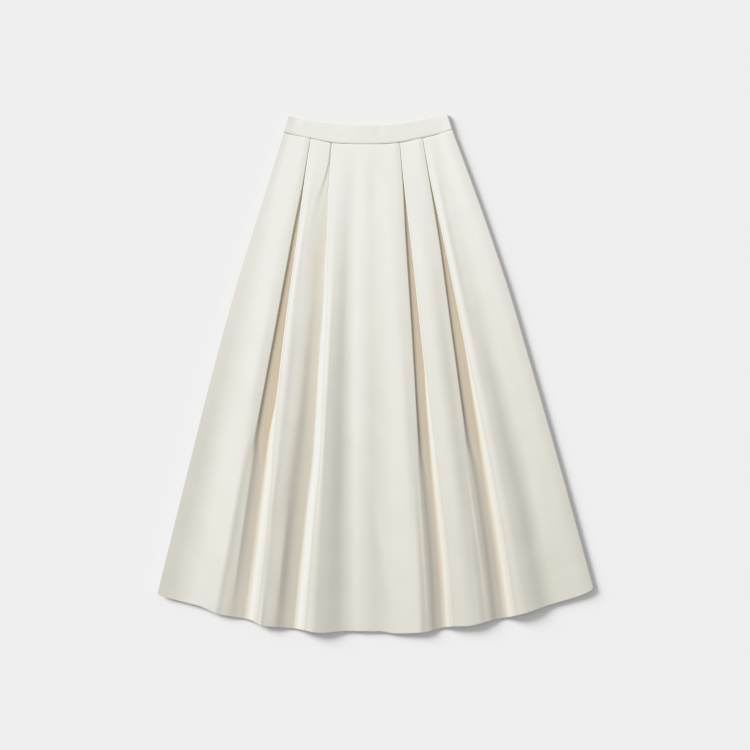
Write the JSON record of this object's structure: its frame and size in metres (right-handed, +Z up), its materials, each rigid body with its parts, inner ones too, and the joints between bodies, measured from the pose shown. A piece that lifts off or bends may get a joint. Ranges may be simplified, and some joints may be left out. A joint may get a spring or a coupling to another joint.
{
  "type": "a-line midi skirt",
  "caption": "Ivory A-line midi skirt lying flat, with a shaped waistband, stitched inverted pleats that open towards a softly waved hem, and a concealed back zip.",
  "frame": {"origin": "middle of the skirt's outline, on the surface that it lies on", "axes": "+Z up out of the front, +Y from the hem to the waist, +X to the right as the front is looked at"},
  "size_m": [0.8114, 0.9606, 0.0147],
  "materials": {
    "cloth": "smooth matt crepe suiting, ivory",
    "waistband": "the same ivory cloth, interfaced",
    "zip_tape": "fine ivory tape with a nylon coil",
    "zip_metal": "satin ivory enamel"
  },
  "bodies": {
    "skirt": {"front_panel": "cloth", "back_panel_left": "cloth", "back_panel_right": "cloth", "waistband_front": "waistband", "waistband_back_left": "waistband", "waistband_back_right": "waistband", "zip_tape": "zip_tape", "zip_slider": "zip_metal"},
    "pull_tab": {"zip_pull": "zip_metal"}
  },
  "joints": [
    {"name": "pull_tab_swing", "type": "hinge", "parent": "skirt", "child": "pull_tab", "pos_m": [-0.01414, 0.45429, 0.0014], "axis": [0.9998, 0.0175, 0], "range_deg": [0, 180]}
  ]
}
